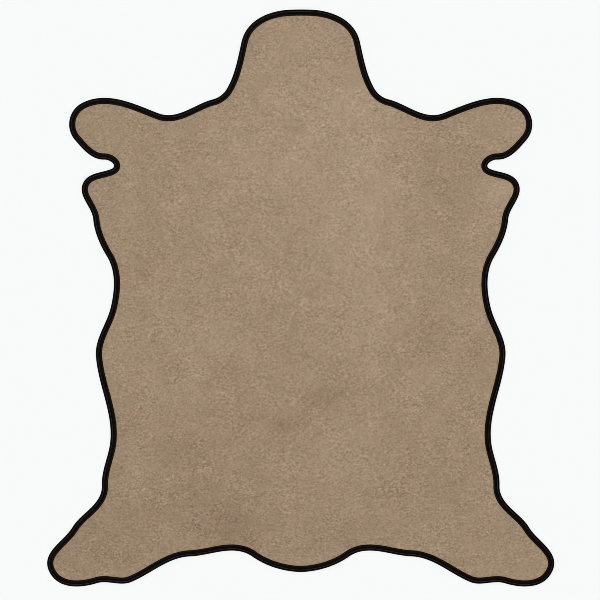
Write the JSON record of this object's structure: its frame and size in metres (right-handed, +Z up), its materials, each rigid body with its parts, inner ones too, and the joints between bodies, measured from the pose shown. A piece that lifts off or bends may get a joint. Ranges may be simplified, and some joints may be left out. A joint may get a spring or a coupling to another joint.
{
  "type": "leather hide rug with bound edge",
  "caption": "Flat suede rug cut to an animal hide's outline, with head, paws and tail, its edge bound in a folded black leather strip.",
  "frame": {"origin": "on the floor under the middle of the hide's outline", "axes": "+X across the hide, +Y from the tail to the head, +Z up"},
  "size_m": [1.8722, 2.13, 0.005],
  "materials": {
    "suede": "matt tan suede, short brushed nap with soft mottling",
    "edge_leather": "black smooth-grain leather strip, slight sheen on its outer fold"
  },
  "bodies": {
    "root": {"hide": "suede", "binding": "edge_leather"}
  },
  "joints": []
}
